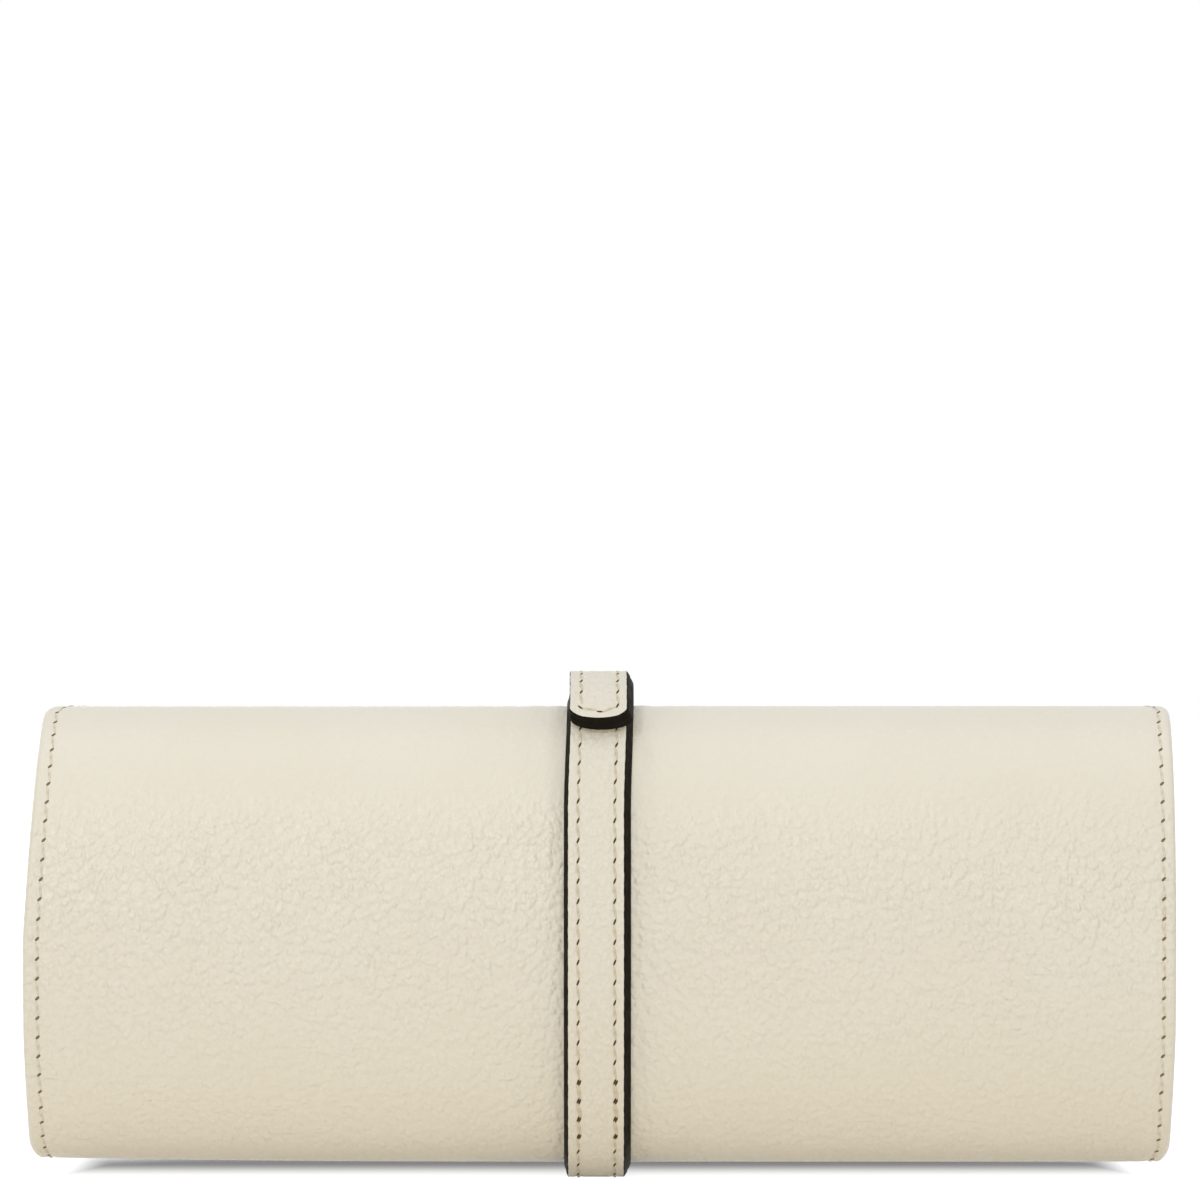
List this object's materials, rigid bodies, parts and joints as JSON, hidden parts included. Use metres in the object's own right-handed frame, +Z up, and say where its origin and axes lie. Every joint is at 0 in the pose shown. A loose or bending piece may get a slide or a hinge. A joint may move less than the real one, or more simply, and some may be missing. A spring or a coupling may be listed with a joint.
{
  "type": "jewelry case",
  "caption": "Roll-up jewelry case of pebbled leather with a wrap-over front leaf, a sewn strap with a closing tab, zipped pockets and a ring roll.",
  "frame": {"origin": "Centre of the footprint, on the plane that the case stands on: the underside of the strap below the base.", "axes": "+X along the case, +Y from the front to the back, +Z up. The front faces -Y."},
  "size_m": [0.25, 0.0616, 0.111],
  "materials": {
    "cream_leather": "pebbled cream leather, semi-matte",
    "strap_leather": "cream leather strap with black painted edges",
    "suede_lining": "matte suede-like microfibre",
    "foam": "thin felt padding",
    "zip_tape": "woven tape",
    "zip_metal": "polished",
    "nickel": "satin nickel",
    "roll_suede": "matte suede-like microfibre over foam"
  },
  "bodies": {
    "back_leaf": {"back_leather": "cream_leather", "back_foam": "foam", "base_foam": "foam", "back_lining": "suede_lining", "back_strap_face": "strap_leather", "back_strap_backing": "strap_leather", "back_pocket_panel": "suede_lining", "back_pocket_band": "suede_lining", "back_zip_tape_upper": "zip_tape", "back_zip_tape_lower": "zip_tape", "back_zip_teeth_upper": "zip_metal", "back_zip_teeth_lower": "zip_metal", "back_zip_stop_top": "zip_metal", "back_zip_stop_bottom": "zip_metal", "ring_roll_anchor": "cream_leather", "ring_snap_patch": "cream_leather", "ring_snap_stud": "nickel"},
    "front_leaf": {"front_leather": "cream_leather", "front_foam": "foam", "front_lining": "suede_lining", "front_strap_face": "strap_leather", "front_strap_backing": "strap_leather", "clasp_plate": "nickel", "front_pocket_panel": "suede_lining", "front_pocket_band": "suede_lining", "front_zip_tape_upper": "zip_tape", "front_zip_tape_lower": "zip_tape", "front_zip_teeth_upper": "zip_metal", "front_zip_teeth_lower": "zip_metal", "front_zip_stop_top": "zip_metal", "front_zip_stop_bottom": "zip_metal"},
    "tab_root": {"tab_root_face": "strap_leather", "tab_root_backing": "strap_leather"},
    "tab_tip": {"tab_tip_face": "strap_leather", "tab_tip_backing": "strap_leather", "tab_magnet": "nickel"},
    "ring_roll_bar": {"ring_roll": "roll_suede", "ring_roll_strip": "cream_leather", "ring_snap_cap": "nickel"},
    "back_slider": {"back_slider_body": "zip_metal", "back_slider_base": "zip_metal"},
    "back_puller": {"back_zip_puller": "zip_metal"},
    "front_slider": {"front_slider_body": "zip_metal", "front_slider_base": "zip_metal"},
    "front_puller": {"front_zip_puller": "zip_metal"}
  },
  "joints": [
    {"name": "front_fold", "type": "hinge", "parent": "back_leaf", "child": "front_leaf", "pos_m": [0, -0.02262, 0.01418], "axis": [1, 0, 0], "range_deg": [0, 90]},
    {"name": "tab_root_fold", "type": "hinge", "parent": "back_leaf", "child": "tab_root", "pos_m": [0, 0.01738, 0.09338], "axis": [-1, 0, 0], "range_deg": [0, 144]},
    {"name": "tab_tip_fold", "type": "hinge", "parent": "tab_root", "child": "tab_tip", "pos_m": [0, 0, 0.111], "axis": [-1, 0, 0], "range_deg": [0, 112.5]},
    {"name": "ring_roll_swing", "type": "hinge", "parent": "back_leaf", "child": "ring_roll_bar", "pos_m": [-0.104, 0.01752, 0.066], "axis": [0, 0, -1], "range_deg": [0, 34.2]},
    {"name": "back_zip_slide", "type": "slide", "parent": "back_leaf", "child": "back_slider", "axis": [-1, 0, 0], "range_m": [0, 0.1762]},
    {"name": "back_puller_turn", "type": "hinge", "parent": "back_slider", "child": "back_puller", "pos_m": [0.0881, 0.01821, 0.04327], "axis": [0, 0.0864, 0.9963], "range_deg": [0, 170]},
    {"name": "front_zip_slide", "type": "slide", "parent": "front_leaf", "child": "front_slider", "axis": [1, 0, 0], "range_m": [0, 0.1762]},
    {"name": "front_puller_turn", "type": "hinge", "parent": "front_slider", "child": "front_puller", "pos_m": [-0.0881, -0.01859, 0.05438], "axis": [0, 0.0132, 0.9999], "range_deg": [0, 170]}
  ],
  "couplings": [
    {"joint": "tab_root_fold", "follows": "front_fold", "ratio": 1.6},
    {"joint": "tab_tip_fold", "follows": "front_fold", "ratio": 1.25},
    {"joint": "ring_roll_swing", "follows": "front_fold", "ratio": 0.38}
  ]
}
